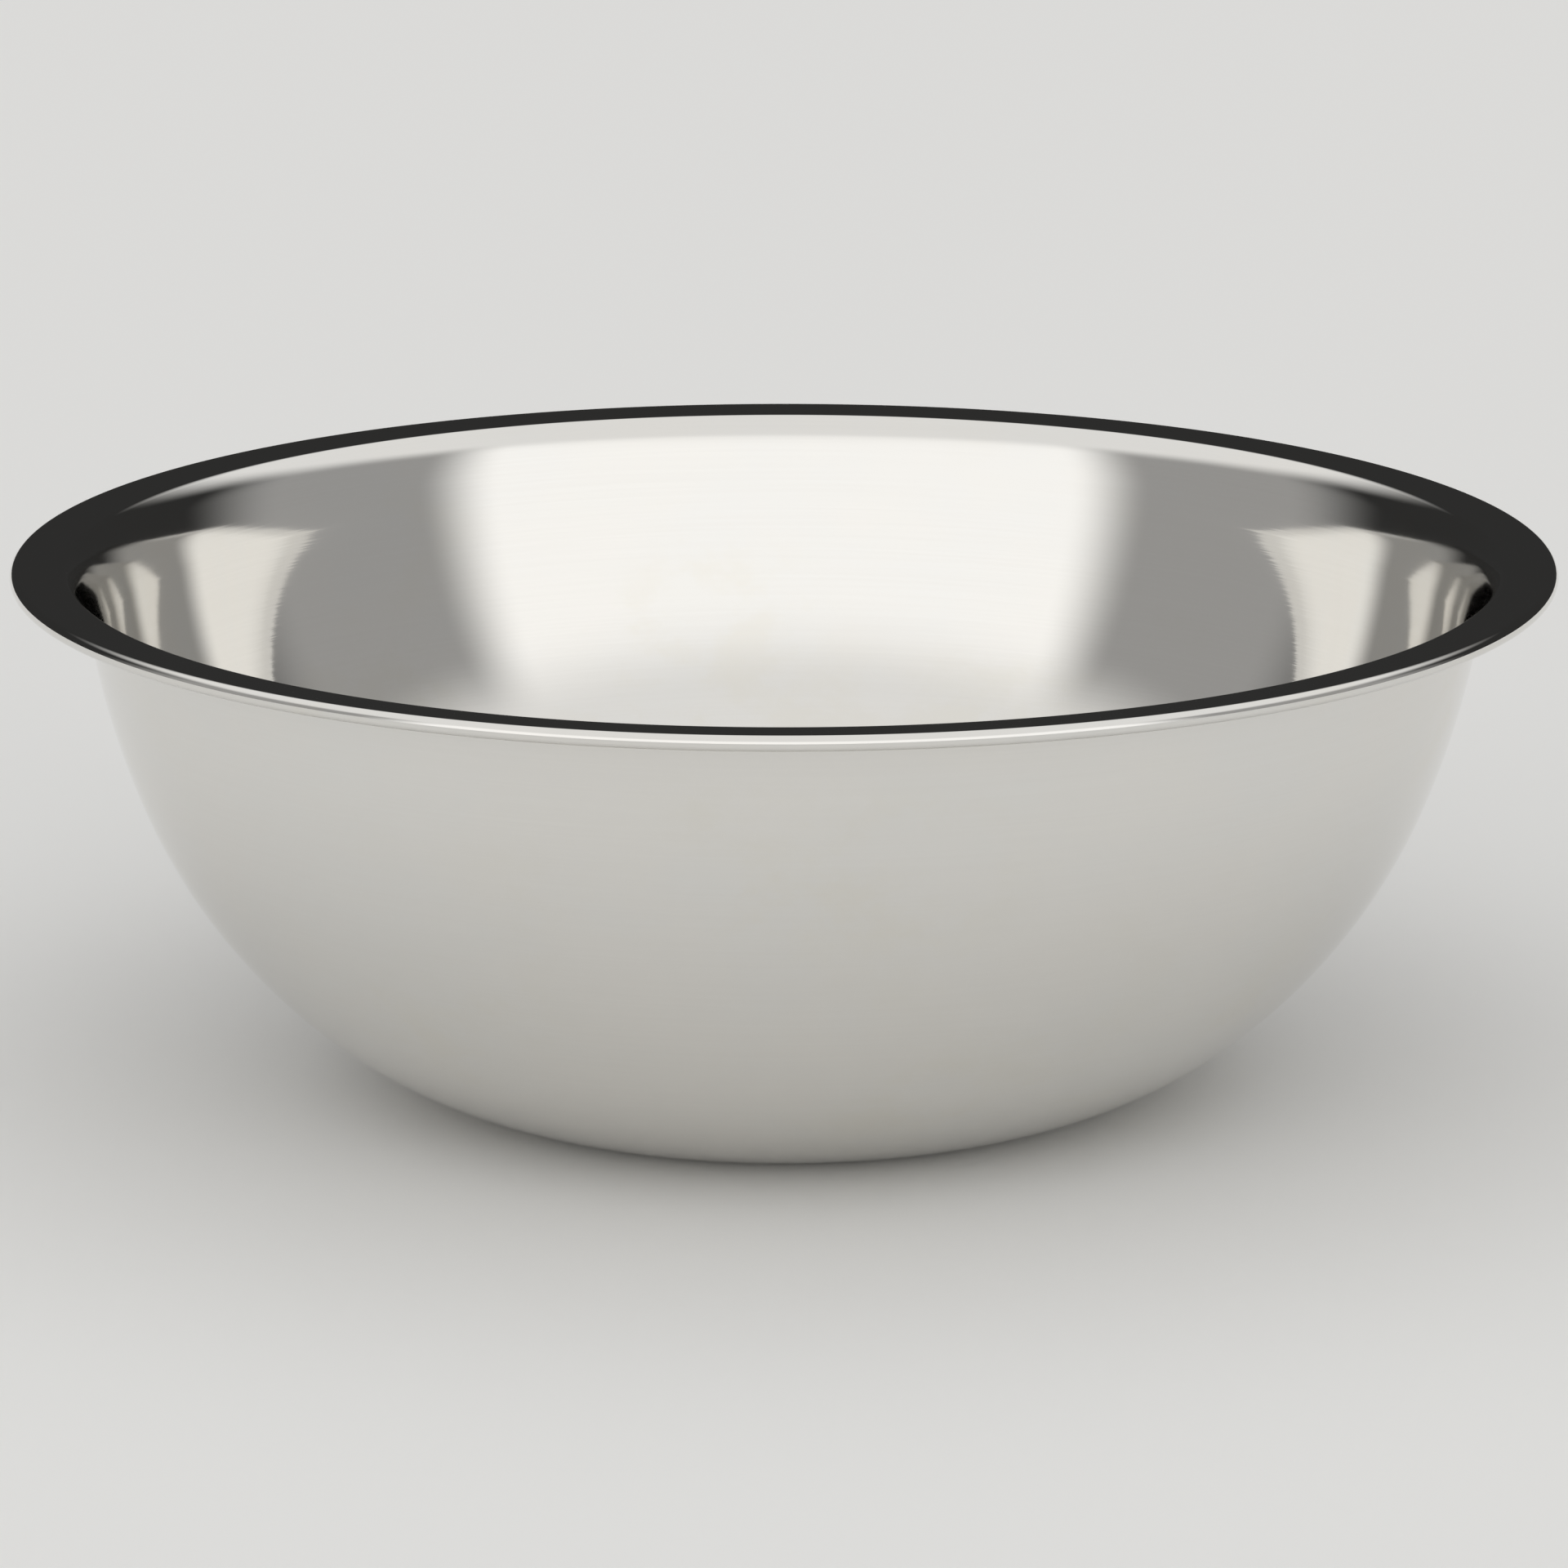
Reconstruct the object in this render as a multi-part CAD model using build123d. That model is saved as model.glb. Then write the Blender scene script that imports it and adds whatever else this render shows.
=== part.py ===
from build123d import *
from math import cos, radians, sin
import os

# Mixing bowl: one deep-drawn disc of stainless sheet, millimetres, +Z up.
# The origin is the centre of the underside of the flat base, on the bowl's axis.

# Overall sizes
OUTER_DIAMETER = 451.0        # over the curled edge
HEIGHT = 158.5                # underside of the base to the top of the curled edge
SHEET = 0.8                   # thickness of the drawn sheet

# The section is a chain of tangent arcs. Each is given as the radius of the sheet's
# upper face, then the slope that it ends on, in degrees from the horizontal.
FLOOR_DIAMETER = 176.8        # flat floor inside the bowl
KNUCKLE = (8.0, 13.4)         # short bend from the floor into the wall
LOWER_WALL = (124.2, 40.5)
MIDDLE_WALL = (164.7, 67.9)
UPPER_WALL = (237.5, 79.1)    # the steepest slope, kept by a straight collar
COLLAR_EASE = (280.0, 77.5)   # above the collar the wall turns outward again
FLARE = (55.0, 69.0)
SHOULDER = (14.0, 42.0)
RIM_EDGE = (3.0, 4.0)         # tight bend on to the flange, which rises slightly
CURL_RADIUS = 2.25            # outside radius of the rolled edge
CURL_SWEEP = 290.0            # how far the edge rolls round, degrees

WALL = (KNUCKLE, LOWER_WALL, MIDDLE_WALL, UPPER_WALL)
RIM = (COLLAR_EASE, FLARE, SHOULDER, RIM_EDGE)
COLLAR_SLOPE = radians(UPPER_WALL[1])
FLANGE_SLOPE = radians(RIM_EDGE[1])


def straight_on(previous, length):
    """Straight that carries on smoothly from the end of the previous piece."""
    return Line(previous @ 1, previous @ 1 + length * (previous % 1))


def arcs_on(previous, arcs, slope, depth):
    """Chain of tangent arcs on a face that lies a depth below the sheet's upper face."""
    for radius, end_slope in arcs:
        turn = end_slope - slope
        face_radius = radius + depth if turn > 0 else radius - depth
        previous = JernArc(previous @ 1, previous % 1, face_radius, turn)
        slope = end_slope
    return previous


def rim_reach():
    """How far across and up the rim's arcs carry the upper face of the sheet."""
    across = 0.0
    up = 0.0
    slope = COLLAR_SLOPE
    for radius, end_slope in RIM:
        end = radians(end_slope)
        across += radius * (sin(slope) - sin(end))
        up += radius * (cos(end) - cos(slope))
        slope = end
    return across, up


def straight_lengths(collar_start):
    """Lengths of the collar and the flange that bring the curl out to the overall sizes."""
    rim_across, rim_up = rim_reach()
    curl_start_x = OUTER_DIAMETER / 2 - CURL_RADIUS * (1 + sin(FLANGE_SLOPE))
    curl_start_y = HEIGHT - CURL_RADIUS * (1 - cos(FLANGE_SLOPE))
    across = curl_start_x - collar_start.X - rim_across
    up = curl_start_y - collar_start.Y - rim_up
    turn = sin(COLLAR_SLOPE - FLANGE_SLOPE)
    collar = (up * cos(FLANGE_SLOPE) - across * sin(FLANGE_SLOPE)) / turn
    flange = (across * sin(COLLAR_SLOPE) - up * cos(COLLAR_SLOPE)) / turn
    return collar, flange


def face_outline(depth):
    """One face of the sheet, a depth below its upper face, from the axis to the end of the curl."""
    to_upper_face = depth * Vector(-sin(COLLAR_SLOPE), cos(COLLAR_SLOPE))
    with BuildLine() as outline:
        floor = Line((0, SHEET - depth), (FLOOR_DIAMETER / 2, SHEET - depth))
        wall = arcs_on(floor, WALL, 0.0, depth)
        collar_length, flange_length = straight_lengths(wall @ 1 + to_upper_face)
        collar = straight_on(wall, collar_length)
        rim = arcs_on(collar, RIM, UPPER_WALL[1], depth)
        flange = straight_on(rim, flange_length)
        JernArc(flange @ 1, flange % 1, CURL_RADIUS - depth, -CURL_SWEEP)
    return outline.line


def bowl_body():
    """The whole bowl, drawn from one sheet: floor, wall, flange and curled edge."""
    upper_face = face_outline(0)
    lower_face = face_outline(SHEET)
    with BuildPart() as bowl:
        with BuildSketch(Plane.XZ):
            with BuildLine():
                add(upper_face)
                add(lower_face)
                Line(upper_face @ 0, lower_face @ 0)
                Line(upper_face @ 1, lower_face @ 1)
            make_face()
        revolve(axis=Axis.Z)
    return bowl.part


os.makedirs("parts", exist_ok=True)
export_step(bowl_body(), "parts/bowl_body.step")
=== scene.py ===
import bpy
from math import cos, hypot, pi, radians, sin
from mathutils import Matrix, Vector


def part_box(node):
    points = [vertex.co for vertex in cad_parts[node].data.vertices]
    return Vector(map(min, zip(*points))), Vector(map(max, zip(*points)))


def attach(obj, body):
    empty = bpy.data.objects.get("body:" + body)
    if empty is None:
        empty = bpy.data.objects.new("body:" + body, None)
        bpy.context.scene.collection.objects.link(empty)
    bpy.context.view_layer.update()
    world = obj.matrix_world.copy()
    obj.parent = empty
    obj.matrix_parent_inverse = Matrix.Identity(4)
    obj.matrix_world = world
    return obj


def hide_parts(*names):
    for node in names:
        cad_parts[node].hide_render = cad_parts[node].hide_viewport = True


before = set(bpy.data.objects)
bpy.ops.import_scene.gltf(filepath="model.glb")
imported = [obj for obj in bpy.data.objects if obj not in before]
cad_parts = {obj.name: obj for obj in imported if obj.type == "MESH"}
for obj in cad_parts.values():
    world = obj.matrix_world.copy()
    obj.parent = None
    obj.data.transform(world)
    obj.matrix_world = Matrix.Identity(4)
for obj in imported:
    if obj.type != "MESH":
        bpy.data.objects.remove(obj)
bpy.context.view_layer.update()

# ---------------------------------------------------------------- sizes, metres
# Drawn sheet section. Slopes are from the horizontal, radii are those of the upper face.
SHEET = 0.0008
FLOOR_RADIUS = 0.0884
WALL_ARCS = ((0.0080, 13.4), (0.1242, 40.5), (0.1647, 67.9), (0.2375, 79.1))
RIM_ARCS = ((0.280, 77.5), (0.055, 69.0), (0.014, 42.0), (0.003, 4.0))
COLLAR_SLOPE = WALL_ARCS[-1][1]
FLANGE_SLOPE = RIM_ARCS[-1][1]
CURL_RADIUS = 0.00225
CURL_SWEEP = 290.0

AROUND = 320                  # steps round the bowl
WALL_STEP = 0.75              # degrees of turn per step along the wall
RIM_STEP = 0.75
BEND_STEP = 3.0
CURL_STEP = 6.0

(LOW, HIGH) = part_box("bowl_body")
OUTER_RADIUS = min(HIGH[0] - LOW[0], HIGH[1] - LOW[1]) / 2
HEIGHT = HIGH[2] - LOW[2]
CENTRE = ((LOW[0] + HIGH[0]) / 2, (LOW[1] + HIGH[1]) / 2)


# ---------------------------------------------------------------- section of the sheet
class Outline:
    """Smooth run of straights and arcs in the half plane of radius and height."""

    def __init__(self, radius, height):
        self.points = [(radius, height)]
        self.heading = 0.0

    def straight(self, length, steps):
        r, z = self.points[-1]
        for k in range(1, steps + 1):
            s = length * k / steps
            self.points.append((r + s * cos(self.heading), z + s * sin(self.heading)))

    def arc(self, radius, turn, step):
        r, z = self.points[-1]
        side = 1 if turn > 0 else -1
        cr = r - side * radius * sin(self.heading)
        cz = z + side * radius * cos(self.heading)
        count = max(3, round(abs(turn) / step))
        start = self.heading
        for k in range(1, count + 1):
            a = start + radians(turn) * k / count
            self.points.append((cr + side * radius * sin(a), cz - side * radius * cos(a)))
        self.heading = start + radians(turn)


def rim_reach():
    """How far across and up the rim's arcs carry the upper face."""
    across = 0.0
    up = 0.0
    slope = radians(COLLAR_SLOPE)
    for radius, end_slope in RIM_ARCS:
        end = radians(end_slope)
        across += radius * (sin(slope) - sin(end))
        up += radius * (cos(end) - cos(slope))
        slope = end
    return across, up


def straight_lengths(r, z):
    """Collar and flange lengths that bring the curl out to the overall sizes."""
    collar = radians(COLLAR_SLOPE)
    flange = radians(FLANGE_SLOPE)
    rim_across, rim_up = rim_reach()
    across = OUTER_RADIUS - CURL_RADIUS * (1 + sin(flange)) - r - rim_across
    up = HEIGHT - CURL_RADIUS * (1 - cos(flange)) - z - rim_up
    turn = sin(collar - flange)
    collar_length = (up * cos(flange) - across * sin(flange)) / turn
    flange_length = (across * sin(collar) - up * cos(collar)) / turn
    return collar_length, flange_length


def face_outline(depth):
    """Outline of one face of the sheet, a depth below the upper face."""
    line = Outline(0.0, SHEET - depth)
    line.straight(FLOOR_RADIUS, 24)
    slope = 0.0
    for radius, end_slope in WALL_ARCS:
        line.arc(radius + depth, end_slope - slope, WALL_STEP)
        slope = end_slope
    r, z = line.points[-1]
    collar = radians(COLLAR_SLOPE)
    collar_length, flange_length = straight_lengths(r - depth * sin(collar), z + depth * cos(collar))
    line.straight(collar_length, 3)
    for radius, end_slope in RIM_ARCS:
        line.arc(radius - depth, end_slope - slope, RIM_STEP if radius > 0.02 else BEND_STEP)
        slope = end_slope
    line.straight(flange_length, 5)
    line.arc(CURL_RADIUS - depth, -CURL_SWEEP, CURL_STEP)
    return line.points


def lathe(name, points):
    """Surface of revolution with the length along the section kept in the UV map."""
    rings = len(points)
    verts = []
    for r, z in points:
        if r < 1e-9:
            verts.append((CENTRE[0], CENTRE[1], LOW[2] + z))
            continue
        for k in range(AROUND):
            a = 2 * pi * k / AROUND
            verts.append((CENTRE[0] + r * sin(a), CENTRE[1] + r * cos(a), LOW[2] + z))
    start = []
    n = 0
    for r, z in points:
        start.append(n)
        n += 1 if r < 1e-9 else AROUND
    along = [0.0]
    for (r0, z0), (r1, z1) in zip(points, points[1:]):
        along.append(along[-1] + hypot(r1 - r0, z1 - z0))
    faces = []
    uvs = []
    for i in range(rings - 1):
        one = points[i][0] < 1e-9
        two = points[i + 1][0] < 1e-9
        for k in range(AROUND):
            j = (k + 1) % AROUND
            u0 = k / AROUND
            u1 = (k + 1) / AROUND
            if one:
                faces.append((start[i], start[i + 1] + k, start[i + 1] + j))
                uvs += [((u0 + u1) / 2, along[i]), (u0, along[i + 1]), (u1, along[i + 1])]
            elif two:
                faces.append((start[i] + k, start[i + 1], start[i] + j))
                uvs += [(u0, along[i]), ((u0 + u1) / 2, along[i + 1]), (u1, along[i])]
            else:
                faces.append((start[i] + k, start[i + 1] + k, start[i + 1] + j, start[i] + j))
                uvs += [(u0, along[i]), (u0, along[i + 1]), (u1, along[i + 1]), (u1, along[i])]
    mesh = bpy.data.meshes.new(name)
    mesh.from_pydata(verts, [], faces)
    layer = mesh.uv_layers.new(name="section")
    flat = [c for uv in uvs for c in uv]
    layer.data.foreach_set("uv", flat)
    mesh.polygons.foreach_set("use_smooth", [True] * len(mesh.polygons))
    mesh.update()
    obj = bpy.data.objects.new(name, mesh)
    bpy.context.scene.collection.objects.link(obj)
    return obj


def bowl_section():
    """Closed section: along the upper face to the end of the curl and back along the lower face."""
    upper = face_outline(0.0)
    lower = face_outline(SHEET)
    return upper + lower[::-1]


bowl = lathe("polished_bowl", bowl_section())
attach(bowl, "root")
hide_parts("bowl_body")


# ---------------------------------------------------------------- node helpers
class Nodes:
    """Short names for building a node tree."""

    def __init__(self, tree):
        self.tree = tree

    def add(self, kind, **settings):
        node = self.tree.nodes.new(kind)
        for key, value in settings.items():
            setattr(node, key, value)
        return node

    def plug(self, value, socket):
        if hasattr(value, "is_output"):
            self.tree.links.new(value, socket)
        else:
            socket.default_value = value

    def math(self, operation, a, b=None):
        node = self.add("ShaderNodeMath", operation=operation)
        self.plug(a, node.inputs[0])
        if b is not None:
            self.plug(b, node.inputs[1])
        return node.outputs[0]

    def step(self, x, low, high):
        """0 below low, 1 above high, smooth between."""
        node = self.add("ShaderNodeMapRange", interpolation_type="SMOOTHSTEP", clamp=True)
        self.plug(x, node.inputs["Value"])
        self.plug(low, node.inputs["From Min"])
        self.plug(high, node.inputs["From Max"])
        return node.outputs["Result"]

    def span(self, x, low, high, soft):
        """1 between low and high, with soft edges."""
        rise = self.step(x, low - soft, low + soft)
        fall = self.step(x, high - soft, high + soft)
        return self.math("MULTIPLY", rise, self.math("SUBTRACT", 1.0, fall))

    def scale(self, x, low, high):
        """Straight-line map of 0..1 to low..high."""
        node = self.add("ShaderNodeMapRange", clamp=True)
        self.plug(x, node.inputs["Value"])
        node.inputs["To Min"].default_value = low
        node.inputs["To Max"].default_value = high
        return node.outputs["Result"]

    def over(self, base, value, mask):
        """Value laid over base where the mask is 1."""
        node = self.add("ShaderNodeMix", data_type="FLOAT", clamp_factor=True)
        self.plug(mask, node.inputs["Factor"])
        self.plug(base, node.inputs["A"])
        self.plug(value, node.inputs["B"])
        return node.outputs["Result"]

    def tint(self, base, colour, mask):
        node = self.add("ShaderNodeMix", data_type="RGBA", clamp_factor=True)
        self.plug(mask, node.inputs["Factor"])
        self.plug(base, node.inputs["A"])
        self.plug(colour, node.inputs["B"])
        return node.outputs["Result"]


# ---------------------------------------------------------------- polished stainless steel
STEEL = (0.810, 0.796, 0.765, 1.0)
STEEL_COOL = (0.797, 0.792, 0.771, 1.0)
STEEL_STAINED = (0.788, 0.770, 0.718, 1.0)
STEEL_LINE = (0.775, 0.759, 0.728, 1.0)
SCUFF_START = 0.052           # the scuffed ring under the base runs from here to the floor's edge
SCUFF_ROUGHNESS = 0.32
RIM_BAND = (0.277, 0.2915)    # length along the section that takes in the shoulder and flange


def polished_steel():
    """Mirror-polished steel: fine lines round the bowl, soft cloudy patches, scuffed foot."""
    material = bpy.data.materials.new("polished_steel")
    material.use_nodes = True
    n = Nodes(material.node_tree)
    shader = material.node_tree.nodes["Principled BSDF"]
    shader.inputs["Metallic"].default_value = 1.0
    shader.inputs["Anisotropic"].default_value = 0.55
    shader.inputs["Anisotropic Rotation"].default_value = 0.25

    place = n.add("ShaderNodeTexCoord")
    split = n.add("ShaderNodeSeparateXYZ")
    n.plug(place.outputs["Object"], split.inputs[0])
    flat = n.add("ShaderNodeCombineXYZ")
    n.plug(split.outputs["X"], flat.inputs["X"])
    n.plug(split.outputs["Y"], flat.inputs["Y"])
    outward = n.add("ShaderNodeVectorMath", operation="NORMALIZE")
    n.plug(flat.outputs[0], outward.inputs[0])
    out_split = n.add("ShaderNodeSeparateXYZ")
    n.plug(outward.outputs[0], out_split.inputs[0])
    radius = n.add("ShaderNodeVectorMath", operation="LENGTH")
    n.plug(flat.outputs[0], radius.inputs[0])
    uv_split = n.add("ShaderNodeSeparateXYZ")
    n.plug(place.outputs["UV"], uv_split.inputs[0])
    along = uv_split.outputs["Y"]

    def ring_noise(round_scale, along_scale, detail):
        """Noise drawn out into lines round the bowl, with no seam."""
        place_it = n.add("ShaderNodeCombineXYZ")
        n.plug(n.math("MULTIPLY", out_split.outputs["X"], round_scale), place_it.inputs["X"])
        n.plug(n.math("MULTIPLY", out_split.outputs["Y"], round_scale), place_it.inputs["Y"])
        n.plug(n.math("MULTIPLY", along, along_scale), place_it.inputs["Z"])
        noise = n.add("ShaderNodeTexNoise")
        n.plug(place_it.outputs[0], noise.inputs["Vector"])
        noise.inputs["Scale"].default_value = 1.0
        noise.inputs["Detail"].default_value = detail
        return noise.outputs["Fac"]

    polish = ring_noise(2.5, 1400.0, 3.0)
    bands = ring_noise(0.6, 90.0, 2.0)

    def blotches(scale, detail, low, high):
        """Irregular patches, a little wider than they are tall."""
        stretch = n.add("ShaderNodeVectorMath", operation="MULTIPLY")
        n.plug(place.outputs["Object"], stretch.inputs[0])
        n.plug((1.0, 1.0, 1.5), stretch.inputs[1])
        noise = n.add("ShaderNodeTexNoise")
        n.plug(stretch.outputs[0], noise.inputs["Vector"])
        noise.inputs["Scale"].default_value = scale
        noise.inputs["Detail"].default_value = detail
        noise.inputs["Roughness"].default_value = 0.65
        return n.step(noise.outputs["Fac"], low, high)

    clouds = blotches(11.0, 3.0, 0.40, 0.66)
    stains = n.math("MULTIPLY", blotches(26.0, 5.0, 0.46, 0.66), blotches(9.0, 1.0, 0.46, 0.66))

    foot_ring = n.math("MULTIPLY", n.span(radius.outputs["Value"], SCUFF_START, FLOOR_RADIUS, 0.005),
                       n.step(split.outputs["Z"], 0.0004, 0.0001))
    rough = n.math("ADD", n.scale(polish, 0.020, 0.052), n.scale(bands, -0.005, 0.008))
    rough = n.math("ADD", rough, n.math("MULTIPLY", clouds, 0.015))
    rough = n.math("ADD", rough, n.math("MULTIPLY", stains, 0.030))
    rough = n.math("ADD", rough, n.math("MULTIPLY", n.span(along, *RIM_BAND, 0.004), 0.02))
    rough = n.over(rough, SCUFF_ROUGHNESS, foot_ring)
    n.plug(rough, shader.inputs["Roughness"])

    colour = n.tint(STEEL, STEEL_COOL, clouds)
    colour = n.tint(colour, STEEL_STAINED, stains)
    colour = n.tint(colour, STEEL_LINE, n.scale(polish, 0.0, 0.7))
    n.plug(colour, shader.inputs["Base Color"])

    waves = n.add("ShaderNodeTexNoise")
    n.plug(place.outputs["Object"], waves.inputs["Vector"])
    waves.inputs["Scale"].default_value = 38.0
    waves.inputs["Detail"].default_value = 2.0
    swell = n.add("ShaderNodeBump")
    swell.inputs["Strength"].default_value = 0.6
    swell.inputs["Distance"].default_value = 0.00002
    n.plug(waves.outputs["Fac"], swell.inputs["Height"])
    bump = n.add("ShaderNodeBump")
    bump.inputs["Strength"].default_value = 0.25
    bump.inputs["Distance"].default_value = 0.00001
    n.plug(polish, bump.inputs["Height"])
    n.plug(swell.outputs["Normal"], bump.inputs["Normal"])
    n.plug(bump.outputs["Normal"], shader.inputs["Normal"])

    tangent = n.add("ShaderNodeTangent", direction_type="RADIAL", axis="Z")
    n.plug(tangent.outputs[0], shader.inputs["Tangent"])
    return material


bowl.data.materials.append(polished_steel())


# ---------------------------------------------------------------- floor
FLOOR_REACH = 30.0
FLOOR_GAP = 0.0002            # keeps the floor just clear of the base
FLOOR_SIDES = 64


def pale_floor():
    """Plain matt floor."""
    material = bpy.data.materials.new("pale_floor")
    material.use_nodes = True
    shader = material.node_tree.nodes["Principled BSDF"]
    shader.inputs["Base Color"].default_value = (0.93, 0.93, 0.92, 1.0)
    shader.inputs["Roughness"].default_value = 0.9
    shader.inputs["Specular IOR Level"].default_value = 0.0
    turns = [2 * pi * k / FLOOR_SIDES for k in range(FLOOR_SIDES)]
    corners = [(FLOOR_REACH * cos(a), FLOOR_REACH * sin(a), LOW[2] - FLOOR_GAP) for a in turns]
    mesh = bpy.data.meshes.new("floor")
    mesh.from_pydata(corners, [], [tuple(range(FLOOR_SIDES))])
    mesh.materials.append(material)
    floor = bpy.data.objects.new("floor", mesh)
    bpy.context.scene.collection.objects.link(floor)


pale_floor()


# ---------------------------------------------------------------- studio light
FRONT_LEVEL = 1.15            # soft light in front of the bowl
SIDE_LEVEL = 0.36
BACK_LEVEL = 0.03             # unlit room behind
CEILING_LEVEL = 0.88
FRONT_REACH = 58.0            # degrees round to each side of the camera's side
BACK_START = 108.0            # degrees round to each side
CEILING_START = 33.0          # degrees above the horizon
FRONT_SOFT = 8.0              # degrees to each side of an edge over which the light fades
BACK_SOFT = 13.0
CEILING_SOFT = 9.0
BACKDROP_LEVEL = 0.85


def studio_world():
    """Soft light in front and overhead, dim sides, dark behind. The camera sees a pale backdrop."""
    world = bpy.data.worlds.new("studio")
    bpy.context.scene.world = world
    world.use_nodes = True
    tree = world.node_tree
    tree.nodes.clear()
    n = Nodes(tree)
    place = n.add("ShaderNodeTexCoord")
    split = n.add("ShaderNodeSeparateXYZ")
    n.plug(place.outputs["Generated"], split.inputs[0])
    x, y, z = (split.outputs[i] for i in range(3))
    turn = n.math("ABSOLUTE", n.math("ARCTAN2", x, n.math("MULTIPLY", y, -1.0)))
    turn = n.math("MULTIPLY", turn, 180 / pi)
    rise = n.math("MULTIPLY", n.math("ARCSINE", z), 180 / pi)

    level = n.over(SIDE_LEVEL, FRONT_LEVEL, n.step(turn, FRONT_REACH + FRONT_SOFT, FRONT_REACH - FRONT_SOFT))
    level = n.over(level, BACK_LEVEL, n.step(turn, BACK_START - BACK_SOFT, BACK_START + BACK_SOFT))
    overhead = n.step(rise, CEILING_START - CEILING_SOFT, CEILING_START + CEILING_SOFT)
    level = n.over(level, CEILING_LEVEL, overhead)

    room = n.add("ShaderNodeBackground")
    n.plug(level, room.inputs["Strength"])
    backdrop = n.add("ShaderNodeBackground")
    for shader in (room, backdrop):
        shader.inputs["Color"].default_value = (1.0, 0.995, 0.985, 1.0)
    backdrop.inputs["Strength"].default_value = BACKDROP_LEVEL
    path = n.add("ShaderNodeLightPath")
    mix = n.add("ShaderNodeMixShader")
    n.plug(path.outputs["Is Camera Ray"], mix.inputs[0])
    n.plug(room.outputs[0], mix.inputs[1])
    n.plug(backdrop.outputs[0], mix.inputs[2])
    out = n.add("ShaderNodeOutputWorld")
    n.plug(mix.outputs[0], out.inputs["Surface"])


studio_world()


# ---------------------------------------------------------------- camera
CAMERA_DISTANCE = 11.0        # from the middle of the rim, in outer radii
CAMERA_RISE = 12.42           # degrees above the rim's plane
CAMERA_TILT = 13.965          # degrees below level
LENS = 194.85

data = bpy.data.cameras.new("camera")
data.lens = LENS
data.sensor_width = 36.0
camera = bpy.data.objects.new("camera", data)
bpy.context.scene.collection.objects.link(camera)
reach = CAMERA_DISTANCE * OUTER_RADIUS
camera.location = (CENTRE[0], CENTRE[1] - reach * cos(radians(CAMERA_RISE)),
                   HIGH[2] + reach * sin(radians(CAMERA_RISE)))
camera.rotation_euler = (radians(90 - CAMERA_TILT), 0.0, 0.0)
bpy.context.scene.camera = camera

bpy.context.scene.view_settings.view_transform = "Standard"
